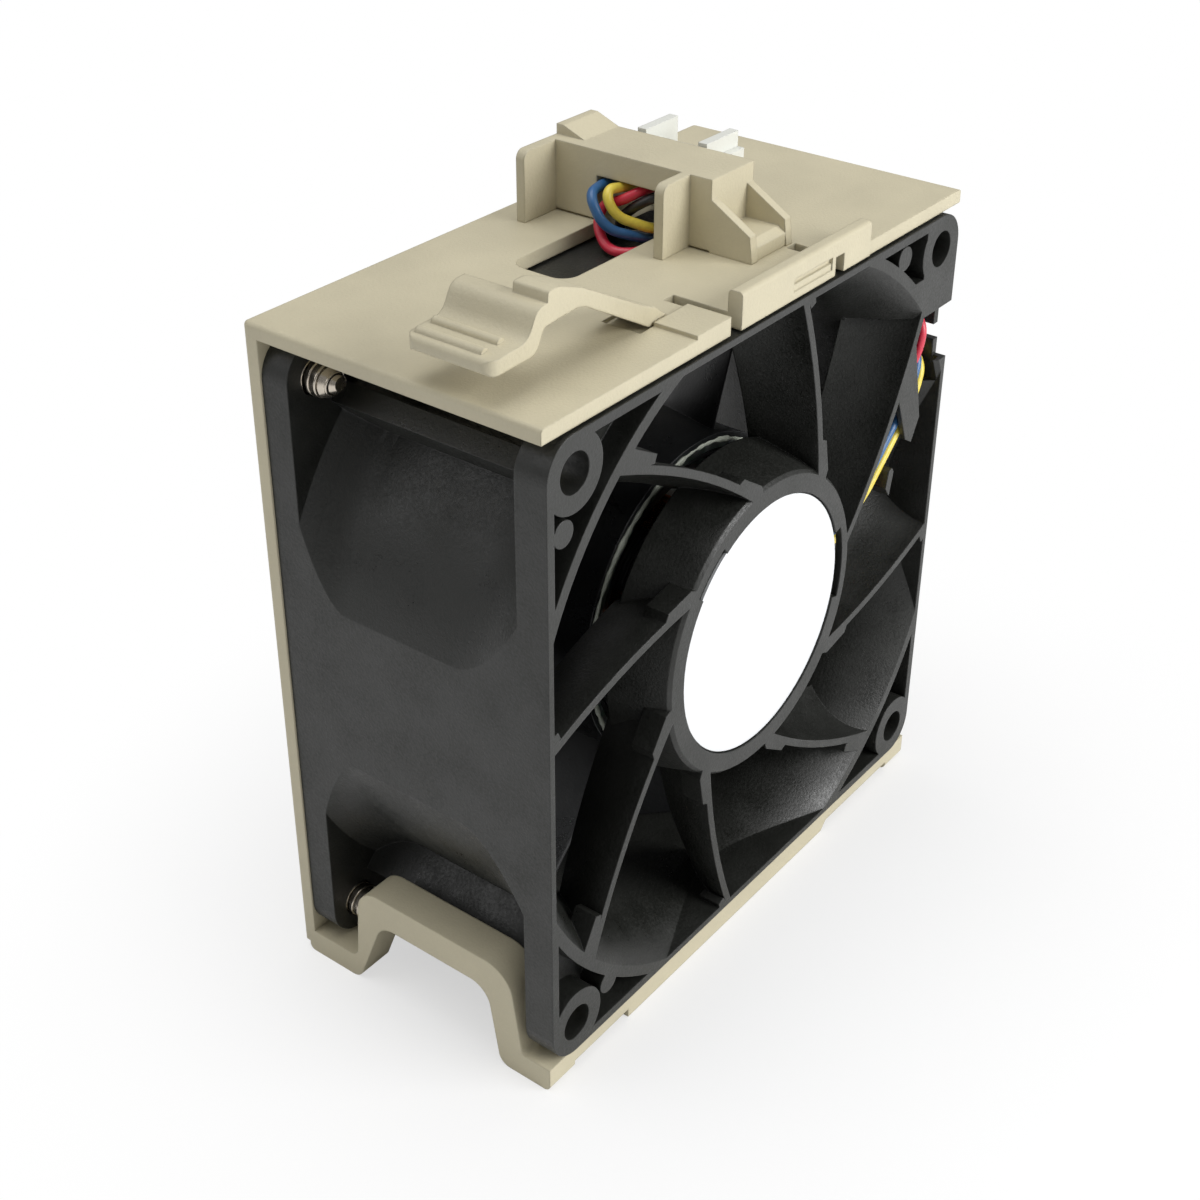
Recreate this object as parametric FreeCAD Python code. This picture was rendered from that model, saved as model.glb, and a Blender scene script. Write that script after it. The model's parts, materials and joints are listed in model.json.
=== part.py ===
"""Server fan module: an 80 mm axial fan in a moulded latch carrier.

Millimetres. The origin lies on the rotor's axis, in the outlet face of the fan's frame.
X runs to the right as the outlet is faced, Y runs back into the fan and Z runs up.
Each sub-part has its own function, and its solid goes to parts/NODE.step.
"""
import FreeCAD, Part
import math
import os

V = FreeCAD.Vector

# ---------------------------------------------------------------- fan frame
fan_side = 80.0                # square frame, side
fan_depth = 38.0               # outlet face to intake face
hole_pitch = 71.5              # fixing holes, centre to centre
hole_r = 2.25
corner_r = 4.3                 # frame's outer corners
front_flange = 4.0             # thickness at the outlet
rear_flange = 3.7              # thickness at the intake
rim_wall = 0.8                 # what the air passage leaves of a side
pocket_depth = 3.0             # recess in each corner of the outlet flange
pocket_wall = 1.1              # flange edge beside a pocket
boss_wall = 2.15               # plastic round a fixing hole
throat_r = 38.2                # air passage where the blades turn
outlet_r = 43.2                # air passage at the outlet face
intake_r = 42.5                # air passage at the intake face
outlet_bell = 12.0             # depth of the outlet's flare
intake_bell = 8.0              # depth of the intake's flare
barrel_wall = 3.1              # round the straight throat
front_flare_wall = 1.0         # outlet's edge to the barrel's outside behind the outlet flange
rear_flare_wall = 2.1          # the same before the intake flange
front_flare = 9.0              # depth of the outside flare behind the outlet flange
rear_flare = 6.0
corner_rib_r = 46.8            # ribs that stand off the barrel towards the corners
corner_rib_thickness = 2.6
pocket_gap = 1.4               # air passage to the recesses
solid_corner = (24.0, 33.0, 32.0)    # solid part of the notch's corner: low, high and inner edge
pin_r = 1.5                    # ejector pads in three corner recesses
pin_places = [(-37.5, 29.8), (26.8, 37.3), (-29.8, -34.0)]

# ---------------------------------------------------------------- hub and stator vanes
hub_front_r = 19.0
hub_rear_r = 20.8
hub_depth = 7.5
hub_wall = 1.4
hub_floor = 2.0                # outlet face to the inside of the hub's floor
hub_edge = 0.4                 # chamfer round the hub's face
vane_count = 8
vane_root = (18.1, 2.9)        # front edge of the vane beside the leads, in X and Z
vane_middle = (26.5, 15.0)
vane_tip = (33.6, 30.6)
vane_thickness = 1.0
vane_depth = 8.5
vane_lean = 6.5                # degrees that the rear edge is turned ahead of the front edge
label_r = 16.1
label_thickness = 0.3
label_sunk = 0.25              # outlet face to the label's face
label_gap = 0.2
slot_inner_r = 16.3            # arc slots in the hub's face
slot_outer_r = 17.4
left_slot = (122, 143)         # degrees from +X, anticlockwise
right_slot = (-15, 19)
right_slot_depth = 1.0
post_r = 1.2                   # posts in the hub that carry the board
post_at = 12.5
hook_thickness = 0.7
hook_outline = [(28.4, 18.4), (31.6, 25.0), (34.4, 13.6), (32.8, 10.6), (31.2, 11.6)]
post_outline = [(27.2, 6.2), (28.2, 4.8), (28.9, 8.0), (28.4, 8.7), (27.7, 8.4)]
post_arm_end = [(28.6, 5.2), (28.0, 6.6)]
post_arm_root = [(0.0, -2.66), (0.9, -3.87)]     # from the middle of the hub's wall
post_depth = 5.0
post_arm = 1.4                 # thickness of the arm behind the leads
inner_foot = [(18.0, 1.6), (19.6, 2.2), (22.0, 5.8), (21.4, 7.6), (18.0, 3.6)]
outer_foot = [(31.2, 22.8), (32.2, 22.4), (35.6, 28.4), (34.4, 30.6), (32.6, 28.0)]
foot_depth = 3.0

# ---------------------------------------------------------------- way out for the leads
door = (16.4, 22.0, 0.9, 5.3, 0.0, 4.3)    # hub's side door: X, Y and Z from and to
notch_inner = 27.0             # where the notch starts, inside the air passage
notch_low = 20.0
notch_high = 27.6
notch_depth = 8.0
under_rim_low = 16.6
under_rim_front = 0.6
channel_inner = 35.0           # space behind the outlet flange, beside the barrel
channel_depth = 14.0
channel_low = 17.2
ear_thickness = 1.0
ear_depth = 1.8
lower_ear = (1.4, 19.0, 22.2)  # front face, bottom and top
upper_ear = (1.6, 24.2, 28.5)
top_channel = (4.0, 17.0, 19.3, 28.4)      # recess in the frame's top: left, right, front and rear
top_channel_depth = 1.5

# ---------------------------------------------------------------- rotor
tip_gap = 0.6                  # blade tip to the air passage
blade_count = 7
rotor_r = 20.6
rotor_front = 10.55
rotor_rear = 35.2
rotor_wall = 1.0
yoke_wall = 0.9
magnet_wall = 1.3
hub_round = 2.2                # rounding of the impeller's rear end
bush_r = 4.5                   # yoke's bush round the shaft
bush_length = 4.0
blade_front = 11.6
blade_rear = 34.4
blade_thickness = 1.5
hub_wrap = 8.4                 # half of a blade's reach across the axis, near the hub
tip_wrap = 15.0                # the same at the tip
hub_bow = 1.6                  # how far a blade's section arches
middle_bow = 2.2
tip_bow = 2.6
shaft_r = 2.0
shaft_front = 4.4
shaft_chamfer = 0.3
shaft_groove = 0.4             # depth of the clip's groove

# ---------------------------------------------------------------- bearings
bearing_r = 5.5
bearing_width = 4.0
front_bearing_y = 8.0          # outlet face to the front bearing
rear_bearing_y = 24.0
ball_r = 0.7
ball_pitch_r = 3.75
ball_count = 7
race_gap = 0.04
race_half = 0.55               # open half width between the rings
tube_wall = 1.0
tube_shoulder = 0.8
clip_thickness = 0.5
washer_thickness = 0.4

# ---------------------------------------------------------------- motor
air_gap = 0.5                  # stator pole to magnet
pole_count = 4
core_front = 12.2
core_rear = 23.8
core_ring_share = 0.556        # core ring's outside to the poles' faces
pole_half_width = 2.0
shoe_depth = 1.6
shoe_half_angle = 34.0
insulator_wall = 0.6
insulator_end = 1.2
coil_wall = 1.7
coil_gap = 0.5                 # winding to the core's ring
shoe_gap = 1.0                 # winding to a pole's shoe
coil_round = 1.0
coil_end = 1.1                 # winding over the bobbin's ends
magnet_overhang = 0.7
board_front = 7.6
board_thickness = 1.0
board_gap = 0.8                # board to the hub's wall
board_hole_gap = 0.2
chip_at = 12.5                 # driver chip
chip_width = 4.0
chip_length = 5.0
chip_height = 1.6
sensor_at = 14.0               # rotor position sensor
sensor_side = 3.0
sensor_height = 1.2
can_at = 13.0                  # capacitor
can_r = 2.0
can_height = 4.4
block_left = 10.2              # terminal block for the leads
block_right = 14.0
block_low = -1.4
block_high = 4.4
tube_socket_wall = 1.2

# ---------------------------------------------------------------- carrier
carrier_gap = 0.3              # fan frame to the carrier's top plate
screw_margin = 4.45            # screw line to the carrier's side
plate_thickness = 1.7
plate_front = 0.4
wall_thickness = 2.0           # rear wall
wall_drop = 2.3                # rear wall and crossbar below the fan's frame
foot_drop = 3.5                # feet below the fan's frame
intake_margin = 3.9            # carrier's intake opening inside the fan's
rail_width = 4.6
crossbar_depth = 4.6
bar_gap = 0.2                  # fan frame to crossbar and rails
plate_corner_r = 0.6
plate_edge_r = 0.5
lip_height = 2.5
lip_thickness = 1.8
lip_left = -7.5
lip_right = 18.5
lip_round = 0.5
inset_left = 2.5               # shallow inset in the lip's face
inset_right = 10.3
inset_low = 0.9                # above the plate's underside
inset_high = 2.4
inset_depth = 0.4
step_left = -15.3              # low step beside the lip
step_rear = 5.9
step_height = 0.45
cut_width = 1.8                # slots that free the tongue on each side of the lip
left_cut_depth = 9.0
right_cut_left = 11.0
right_cut_depth = 6.7
bar_bend_left = -25.3          # crossbar's deeper middle
bar_bend_right = 19.6
bar_bend_run = 1.2
arch_high = -28.6              # rail's arch: its top and its underside
arch_thickness = 4.15
arch_front_r = 4.0
arch_rear_r = 3.4
arch_inner_r = 3.0
wire_slot = (-11.8, 16.0, 20.1, 28.3)      # left, right, front and rear edges
wire_slot_r = 2.2

# ---------------------------------------------------------------- connector and its holder
holder_left = 4.4
holder_width = 8.2
holder_front = 12.6
holder_rear = 35.7
holder_height = 8.5
holder_wall = 1.2
holder_roof = 1.6
holder_seam = 0.25             # shadow gap between holder and plate
holder_foot = 0.6              # foot's inset under the holder
wing_thickness = 1.2
wing_front = 15.5
wing_left = -0.6
rear_wing_left = -1.3
wing_r = 1.1
gusset_front = 7.0
gusset_high = 3.1              # gussets' front edge and their ledge
gusset_drop = 2.3
ledge_high = 2.2
ramp_left = 6.1                # ramp on the holder's top
ramp_front = 31.6
ramp_height = 1.2
window_high = 5.5
window_rear = 28.5
connector_front = 18.4
connector_width = 10.9
connector_left = 7.5
connector_right = 17.0
connector_low = 2.2            # above the plate's top
connector_round = 0.3
connector_gap = 0.2
guide_front = 19.3             # guide ribs on the mating side
guide_rear = 27.9
guide_thickness = 1.2
guide_reach = 6.8              # beyond the holder
guide_rise = 0.3               # above the holder's top
terminal_pitch = 2.54
terminal_height = 4.6          # plate's top to the row of terminals
terminal_count = 4
terminal_hole = 0.6            # half of a square way
terminal_half = 0.32
terminal_depth = 4.0           # behind the connector's left face

# ---------------------------------------------------------------- latch lever
lever_front = 6.2
arm_width = 4.3
pad_width = 10.8
knuckle_r = 0.96
knuckle_gap = 0.28
hinge_x = -15.4
hinge_rise = 0.9               # hinge line above the plate's top
seat_right = -12.4
seat_high = 2.05
seat_root = 0.4                # how far the seat reaches into the plate
arm_tangent = (0.46, 0.84)     # hinge line to the arm's edges on the knuckle
arm_outline = [(-26.8, 6.2, 4.0), (-32.2, 5.9, 0.0), (-31.8, 9.3, 0.3), (-30.2, 9.3, 1.0), (-26.6, 7.95, 6.0)]
pad_outline = [(-31.4, 5.9, 0.0), (-31.4, 8.2, 0.0), (-33.4, 8.1, 2.0), (-34.9, 5.3, 2.0), (-40.3, 5.0, 0.6),
               (-40.3, 3.35, 0.6), (-33.7, 3.5, 1.8), (-32.5, 5.9, 1.2)]
pad_corner_r = 1.3
grip_r = 0.55
grip_inset = 0.6
grips = [(-36.6, 5.2), (-38.9, 5.0)]

# ---------------------------------------------------------------- screws and leads
screw_r = 2.0
screw_tip = 30.8
screw_point = 1.8              # length of the point
screw_point_r = 0.8
screw_head_r = 3.9
screw_rim = 0.15               # head's edge, proud of the wall
screw_gap = 0.1
recess_length = 4.0            # cross recess
recess_width = 0.7
recess_depth = 1.0
lead_r = 0.6
bend_share = 0.45              # most of a run that one bend may take

# ---------------------------------------------------------------- places worked out
half = fan_side / 2
hole_at = hole_pitch / 2
waist_r = throat_r + barrel_wall
front_flare_r = outlet_r + front_flare_wall
rear_flare_r = intake_r + rear_flare_wall
carrier_half = hole_at + screw_margin
rear_flange_front = fan_depth - rear_flange
tip_r = throat_r - tip_gap
yoke_r = rotor_r - rotor_wall
magnet_r = yoke_r - yoke_wall
magnet_bore_r = magnet_r - magnet_wall
pole_r = magnet_bore_r - air_gap
core_ring_r = pole_r * core_ring_share
tube_r = bearing_r + tube_wall
board_rear = board_front + board_thickness
plate_low = half + carrier_gap
plate_top = plate_low + plate_thickness
wall_rear = fan_depth + wall_thickness
wall_low = -half - wall_drop
foot_low = -half - foot_drop
rail_inner = carrier_half - rail_width
carrier_intake_r = intake_r - intake_margin
holder_right = holder_left + holder_width
holder_top = plate_top + holder_height
connector_rear = connector_front + connector_width
connector_middle = (connector_front + connector_rear) / 2
terminal_z = plate_top + terminal_height
guide_right = holder_right + guide_reach
lever_rear = lever_front + arm_width
hinge_z = plate_top + hinge_rise
corners = [(-hole_at, -hole_at), (hole_at, -hole_at), (hole_at, hole_at), (-hole_at, hole_at)]


# ---------------------------------------------------------------- general shapes
def box(x0, x1, y0, y1, z0, z1):
    """A block from its lowest to its highest corner."""
    return Part.makeBox(x1 - x0, y1 - y0, z1 - z0, V(x0, y0, z0))


def rod(r, y0, y1, x=0.0, z=0.0):
    """A round bar along Y."""
    return Part.makeCylinder(r, y1 - y0, V(x, y0, z), V(0, 1, 0))


def ring(outer, inner, y0, y1, x=0.0, z=0.0):
    """A tube along Y."""
    return rod(outer, y0, y1, x, z).cut(rod(inner, y0 - 1, y1 + 1, x, z))


def turned(profile):
    """A solid of revolution about the rotor's axis, from (radius, depth) corners."""
    points = [V(r, y, 0) for r, y in profile]
    face = Part.Face(Part.makePolygon(points + points[:1]))
    return face.revolve(V(0, 0, 0), V(0, 1, 0), 360)


def prism(points, along):
    """A closed outline pushed along a vector."""
    return Part.Face(Part.makePolygon(points + points[:1])).extrude(along)


def prism_y(outline, y0, y1):
    """An (X, Z) outline pushed from one depth to another."""
    return prism([V(x, y0, z) for x, z in outline], V(0, y1 - y0, 0))


def prism_x(outline, x0, x1):
    """A (Y, Z) outline pushed from one X to another."""
    return prism([V(x0, y, z) for y, z in outline], V(x1 - x0, 0, 0))


def bend(before, here, after, r):
    """Start, middle and end of the arc that rounds a corner; it takes only a share of its shorter run."""
    into, out = here - before, after - here
    turn = into.getAngle(out)
    trim = min(r * math.tan(turn / 2), bend_share * min(into.Length, out.Length))
    depth = trim / math.tan(turn / 2) * (1 / math.cos(turn / 2) - 1)
    into.normalize()
    out.normalize()
    inward = (out - into).normalize()
    return here - into * trim, here + inward * depth, here + out * trim


def bent_face(outline, place):
    """A face inside a closed outline of (a, b, radius) corners, each rounded by its radius."""
    points = [place(a, b) for a, b, r in outline]
    edges, stops = [], []
    for i, corner in enumerate(outline):
        if corner[2] == 0:
            stops.append((points[i], points[i]))
            continue
        start, middle, end = bend(points[i - 1], points[i], points[(i + 1) % len(points)], corner[2])
        edges.append(Part.Arc(start, middle, end).toShape())
        stops.append((start, end))
    for (_, start), (end, _) in zip(stops, stops[1:] + stops[:1]):
        edges.append(Part.makeLine(start, end))
    return Part.Face(Part.Wire(Part.sortEdges(edges)[0]))


def flare(r, y, end_r, end_y):
    """An arc that leaves a straight wall of radius r at depth y and reaches a wider radius at its end."""
    run = end_y - y
    grow = end_r - r
    curve = (run * run + grow * grow) / (2 * grow)
    angle = math.asin(abs(run) / curve) / 2
    middle = V(r + curve * (1 - math.cos(angle)), y + math.copysign(curve * math.sin(angle), run), 0)
    return Part.Arc(V(r, y, 0), middle, V(end_r, end_y, 0)).toShape()


def revolved(edges):
    """A solid of revolution about the rotor's axis, inside a closed run of edges."""
    return Part.Face(Part.Wire(Part.sortEdges(edges)[0])).revolve(V(0, 0, 0), V(0, 1, 0), 360)


def bent_prism_x(outline, x0, x1):
    """A (Y, Z, radius) outline pushed from one X to another."""
    return bent_face(outline, lambda y, z: V(x0, y, z)).extrude(V(x1 - x0, 0, 0))


def bent_prism_y(outline, y0, y1):
    """An (X, Z, radius) outline pushed from one depth to another."""
    return bent_face(outline, lambda x, z: V(x, y0, z)).extrude(V(0, y1 - y0, 0))


def spun(shape, angle):
    """The shape turned about the rotor's axis, anticlockwise as the outlet is faced."""
    copy = shape.copy()
    copy.rotate(V(0, 0, 0), V(0, -1, 0), angle)
    return copy


def joined(shapes):
    """Overlapping or touching solids as one."""
    return shapes[0].multiFuse(shapes[1:]).removeSplitter()


def rounded_edges(shape, radius, chosen):
    """The shape with a fillet on each straight edge that the test picks."""
    edges = [e for e in shape.Edges if e.Curve.TypeId == "Part::GeomLine" and chosen(e)]
    return shape.makeFillet(radius, edges)


def runs_along(edge, direction):
    """Whether an edge lies along a direction."""
    a, b = edge.Vertexes[0].Point, edge.Vertexes[1].Point
    return abs((b - a).normalize().dot(direction)) > 0.999


def arc_slot(inner, outer, start, end, y0, y1):
    """A ring's stretch between two angles, anticlockwise from +X as the outlet is faced."""
    reach = 2 * outer
    mouth = [(0, 0)]
    steps = 4
    for i in range(steps + 1):
        angle = math.radians(start + (end - start) * i / steps)
        mouth.append((reach * math.cos(angle), reach * math.sin(angle)))
    return ring(outer, inner, y0, y1).common(prism_y(mouth, y0, y1))


def write(name, *shapes):
    """Export one node."""
    solids = [s for shape in shapes for s in shape.Solids]
    body = solids[0] if len(solids) == 1 else Part.makeCompound(solids)
    body.exportStep("parts/" + name + ".step")
    print(name, len(solids), "solids, volume", round(body.Volume, 1), "valid", body.isValid())


# ---------------------------------------------------------------- fan frame
def rounded_square(y0, y1):
    """The frame's square outline with its round corners."""
    block = box(-half, half, y0, y1, -half, half)
    return rounded_edges(block, corner_r, lambda e: runs_along(e, V(0, 1, 0)))


def air_passage():
    """The space inside the barrel: a flare at each end of a straight throat."""
    straight_end = fan_depth - intake_bell
    void = revolved([flare(throat_r, outlet_bell, outlet_r, 0), flare(throat_r, straight_end, intake_r, fan_depth),
                     Part.makeLine(V(throat_r, outlet_bell, 0), V(throat_r, straight_end, 0)),
                     Part.makeLine(V(intake_r, fan_depth, 0), V(0, fan_depth, 0)),
                     Part.makeLine(V(0, fan_depth, 0), V(0, 0, 0)), Part.makeLine(V(0, 0, 0), V(outlet_r, 0, 0))])
    side = half - rim_wall
    return void.common(box(-side, side, 0, fan_depth, -side, side))


def barrel():
    """The waisted outside of the air duct between the flanges."""
    start, end = front_flange + front_flare, rear_flange_front - rear_flare
    outside = revolved([flare(waist_r, start, front_flare_r, front_flange),
                        Part.makeLine(V(waist_r, start, 0), V(waist_r, end, 0)),
                        flare(waist_r, end, rear_flare_r, rear_flange_front),
                        Part.makeLine(V(rear_flare_r, rear_flange_front, 0), V(0, rear_flange_front, 0)),
                        Part.makeLine(V(0, rear_flange_front, 0), V(0, front_flange, 0)),
                        Part.makeLine(V(0, front_flange, 0), V(front_flare_r, front_flange, 0))])
    return outside.common(box(-half, half, 0, fan_depth, -half, half))


def corner_ribs():
    """A rib from the barrel towards each corner, along the whole space between the flanges."""
    side = corner_rib_thickness / 2
    rib = box(throat_r + barrel_wall / 2, corner_rib_r, front_flange, rear_flange_front, -side, side)
    return [spun(rib, 45 + 90 * i) for i in range(4)]


def corner_pockets():
    """Shallow recesses round the fixing bosses; the one beside the wire notch is short."""
    side = half - pocket_wall
    block = box(-side, side, 0, pocket_depth, -side, side)
    block = block.cut(rod(outlet_r + pocket_gap, -1, pocket_depth + 1))
    for x, z in corners:
        block = block.cut(rod(hole_r + boss_wall, -1, pocket_depth + 1, x, z))
    low, high, inner = solid_corner
    block = block.cut(box(low, half, -1, pocket_depth + 1, low, high))
    block = block.cut(box(inner, half, -1, pocket_depth + 1, low, half))
    for x, z in pin_places:
        block = block.cut(rod(pin_r, -1, pocket_depth + 1, x, z))
    return block


def vane_section(y, turn, thickness):
    """Closed outline of a curved vane at one depth."""
    a, b, c = [V(x, y, z) for x, z in (vane_root, vane_middle, vane_tip)]
    camber = Part.Arc(a, b, c).toShape().Curve
    centre = camber.Center
    sides = []
    for grow in (thickness / 2, -thickness / 2):
        factor = (camber.Radius + grow) / camber.Radius
        sides.append([centre + (p - centre) * factor for p in (a, b, c)])
    outer, inner = sides
    edges = [Part.Arc(*outer).toShape(), Part.makeLine(outer[2], inner[2]),
             Part.Arc(*inner[::-1]).toShape(), Part.makeLine(inner[0], outer[0])]
    wire = Part.Wire(edges)
    wire.rotate(V(0, 0, 0), V(0, -1, 0), turn)
    return wire


def vane():
    """The vane beside the leads: upright at its front edge, leaning ahead at its rear."""
    shares = [(0.0, 0.0), (0.35, 0.12), (0.7, 0.5), (1.0, 1.0)]
    sections = [vane_section(vane_depth * s, vane_lean * t, vane_thickness) for s, t in shares]
    return Part.makeLoft(sections, True)


def vane_feet():
    """Short thickenings where a vane meets the hub and the ring."""
    inner = prism_y(inner_foot, 0, foot_depth)
    outer = prism_y(outer_foot, 0, foot_depth)
    return inner, outer


def hub_cup():
    """The fixed hub: a tapered cup, open to the rear, with a sunk face for its label."""
    face = label_sunk + label_thickness
    recess_r = label_r + label_gap
    profile = [(0, face), (recess_r, face), (recess_r, 0), (hub_front_r - hub_edge, 0), (hub_front_r, hub_edge),
               (hub_rear_r, hub_depth), (hub_rear_r - hub_wall, hub_depth),
               (hub_front_r - hub_wall, hub_floor), (0, hub_floor)]
    cup = turned(profile)
    socket = ring(tube_r + tube_socket_wall, tube_r, hub_floor, board_front - 1.0)
    posts = [spun(rod(post_r, hub_floor, board_front, post_at, 0), 45 + 90 * i) for i in range(4)]
    return joined([cup, socket] + posts)


def hub_slots():
    """Two arc slots in the hub's face and the side door for the leads."""
    left = arc_slot(slot_inner_r, slot_outer_r, *left_slot, -1, hub_floor + 1)
    right = arc_slot(slot_inner_r, slot_outer_r, *right_slot, -1, right_slot_depth)
    return [left, right, box(*door)]


def wire_hook():
    """The finger that hangs from a vane across the leads, and the post beside them."""
    finger = prism_y(hook_outline, 0, hook_thickness)
    post = prism_y(post_outline, 0, post_depth)
    root = hub_front_r - hub_wall / 2
    arm = prism_y([(root + x, z) for x, z in post_arm_root] + post_arm_end, post_depth - post_arm, post_depth)
    return finger, post, arm


def wire_notch():
    """Way out for the leads: through the outlet flange's right side, along the barrel and its top."""
    mouth = box(notch_inner, half + 1, -1, notch_depth, notch_low, notch_high)
    under_rim = box(notch_inner, half - rim_wall, under_rim_front, notch_depth, under_rim_low, notch_low + 0.1)
    channel = box(channel_inner, half + 1, front_flange, channel_depth, channel_low, half + 1)
    x0, x1, y0, y1 = top_channel
    top = box(x0, x1, y0, y1, half - top_channel_depth, half + 1)
    return mouth, under_rim, channel, top


def notch_ears():
    """Two ears that keep the leads from slipping out sideways."""
    ears = []
    for front, low, high in (lower_ear, upper_ear):
        ears.append(box(half - ear_thickness, half, front, front + ear_depth, low, high))
    return ears


def fan_frame():
    """Flanges, barrel, vanes and fixed hub in one moulding."""
    shell = joined([rounded_square(0, front_flange), barrel(), rounded_square(rear_flange_front, fan_depth)]
                   + corner_ribs())
    shell = shell.cut(air_passage()).cut(corner_pockets())
    for x, z in corners:
        shell = shell.cut(rod(hole_r, -1, fan_depth + 1, x, z))
    for cut in wire_notch():
        shell = shell.cut(cut)
    side = half - rim_wall / 2
    limit = box(-side, side, 0, vane_depth, -side, side).common(rod(outlet_r + 0.6, 0, vane_depth))
    hub_inside = turned([(0, -1), (hub_front_r - hub_wall / 2, -1), (hub_rear_r - hub_wall / 2, vane_depth),
                         (0, vane_depth)])
    limit = limit.cut(hub_inside)
    blade = vane()
    inner, outer = vane_feet()
    vanes = []
    for i in range(vane_count):
        turn = 360.0 * i / vane_count
        vanes.append(spun(blade, turn).common(limit))
        if i:
            vanes += [spun(inner, turn).common(limit), spun(outer, turn).common(limit)]
    body = joined([shell, hub_cup()] + vanes)
    for cut in hub_slots():
        body = body.cut(cut)
    return joined([body] + list(wire_hook()) + notch_ears())


def label_disc():
    """The bare round label in the hub's face."""
    return rod(label_r, label_sunk, label_sunk + label_thickness)


# ---------------------------------------------------------------- bearings and shaft
def bearing_places():
    """Front face of each bearing."""
    return [front_bearing_y, rear_bearing_y]


def ball_groove(r):
    """The ring-shaped track that the balls run in."""
    tracks = []
    for y in bearing_places():
        middle = V(0, y + bearing_width / 2, 0)
        tracks.append(Part.makeTorus(ball_pitch_r, r, middle, V(0, 1, 0)))
    return tracks


def bearing_outer_rings():
    """The still rings, pressed in the tube."""
    rings = [ring(bearing_r, ball_pitch_r + race_half, y, y + bearing_width) for y in bearing_places()]
    return [r.cut(t) for r, t in zip(rings, ball_groove(ball_r + race_gap))]


def bearing_inner_rings():
    """The rings that turn with the shaft."""
    rings = [ring(ball_pitch_r - race_half, shaft_r, y, y + bearing_width) for y in bearing_places()]
    return [r.cut(t) for r, t in zip(rings, ball_groove(ball_r + race_gap))]


def bearing_balls():
    """The balls of both bearings."""
    balls = []
    for y in bearing_places():
        ball = Part.makeSphere(ball_r, V(ball_pitch_r, y + bearing_width / 2, 0))
        balls += [spun(ball, 360.0 * i / ball_count) for i in range(ball_count)]
    return balls


def bearing_tube():
    """Brass tube in the hub, with a shoulder between the bearings."""
    rear = rear_bearing_y + bearing_width
    seat = front_bearing_y + bearing_width + washer_thickness
    shoulder = bearing_r - tube_shoulder
    return turned([(tube_r, hub_floor), (tube_r, rear), (bearing_r, rear), (bearing_r, rear_bearing_y),
                   (shoulder, rear_bearing_y), (shoulder, seat), (bearing_r, seat), (bearing_r, hub_floor)])


def preload_washer():
    """Spring washer that loads the front bearing."""
    y = front_bearing_y + bearing_width
    return ring(bearing_r - 0.1, ball_pitch_r + 0.75, y, y + washer_thickness)


def shaft():
    """Ground shaft with a groove for its clip."""
    shape = rod(shaft_r, shaft_front, rotor_rear - rotor_wall - yoke_wall)
    groove = ring(shaft_r + 1, shaft_r - shaft_groove, front_bearing_y - clip_thickness, front_bearing_y)
    ends = [e for e in shape.Edges if e.Curve.TypeId == "Part::GeomCircle"]
    return shape.makeChamfer(shaft_chamfer, ends).cut(groove)


def retaining_clip():
    """Open clip in the shaft's groove."""
    clip = ring(shaft_r + 1.0, shaft_r - shaft_groove, front_bearing_y - clip_thickness, front_bearing_y)
    return clip.cut(box(-0.7, 0.7, 0, front_bearing_y + 1, 0, shaft_r + 2))


# ---------------------------------------------------------------- motor
def rotor_yoke():
    """Steel cup round the magnet, with the bush that holds the shaft."""
    rear = rotor_rear - rotor_wall
    inside = rear - yoke_wall
    cup = turned([(0, rear), (yoke_r, rear), (yoke_r, rotor_front), (magnet_r, rotor_front), (magnet_r, inside),
                  (bush_r, inside), (bush_r, inside - bush_length), (shaft_r, inside - bush_length),
                  (shaft_r, inside), (0, inside)])
    return cup


def magnet_ring():
    """Moulded magnet in the yoke."""
    return ring(magnet_r, magnet_bore_r, core_front - magnet_overhang, core_rear + magnet_overhang)


def stator_arm(half_width, inner, outer, y0, y1):
    """One straight block from the core's ring outwards along +X."""
    return box(inner, outer, y0, y1, -half_width, half_width)


def stator_core():
    """Laminated core with four poles."""
    pieces = [ring(core_ring_r, tube_r, core_front, core_rear)]
    shoe_inner = pole_r - shoe_depth
    for i in range(pole_count):
        arm = stator_arm(pole_half_width, core_ring_r - 1, shoe_inner + 0.4, core_front, core_rear)
        shoe = arc_slot(shoe_inner, pole_r, -shoe_half_angle, shoe_half_angle, core_front, core_rear)
        pieces += [spun(arm, 90 * i), spun(shoe, 90 * i)]
    return joined(pieces)


def stator_insulator():
    """Plastic bobbin on both ends of the core and round each arm."""
    front, rear = core_front - insulator_end, core_rear + insulator_end
    outer = pole_r - shoe_depth
    pieces = [ring(core_ring_r, tube_r, front, core_front), ring(core_ring_r, tube_r, core_rear, rear)]
    for i in range(pole_count):
        arm = stator_arm(pole_half_width + insulator_wall, core_ring_r - 0.6, outer - 0.2, front, rear)
        pieces.append(spun(arm, 90 * i))
    return joined(pieces).cut(stator_core())


def stator_coils():
    """One winding on each pole."""
    front, rear = core_front - insulator_end, core_rear + insulator_end
    half_width = pole_half_width + insulator_wall
    inner, outer = core_ring_r + coil_gap, pole_r - shoe_depth - shoe_gap
    coil = stator_arm(half_width + coil_wall, inner, outer, front - coil_end, rear + coil_end)
    coil = rounded_edges(coil, coil_round, lambda e: runs_along(e, V(1, 0, 0)))
    coil = coil.cut(stator_arm(half_width, inner - 1, outer + 1, front, rear))
    return [spun(coil, 90 * i) for i in range(pole_count)]


def driver_board():
    """Round circuit board between hub and stator."""
    outer = hub_rear_r - hub_wall - board_gap
    return ring(outer, tube_r + tube_socket_wall + board_hole_gap, board_front, board_rear)


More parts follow.
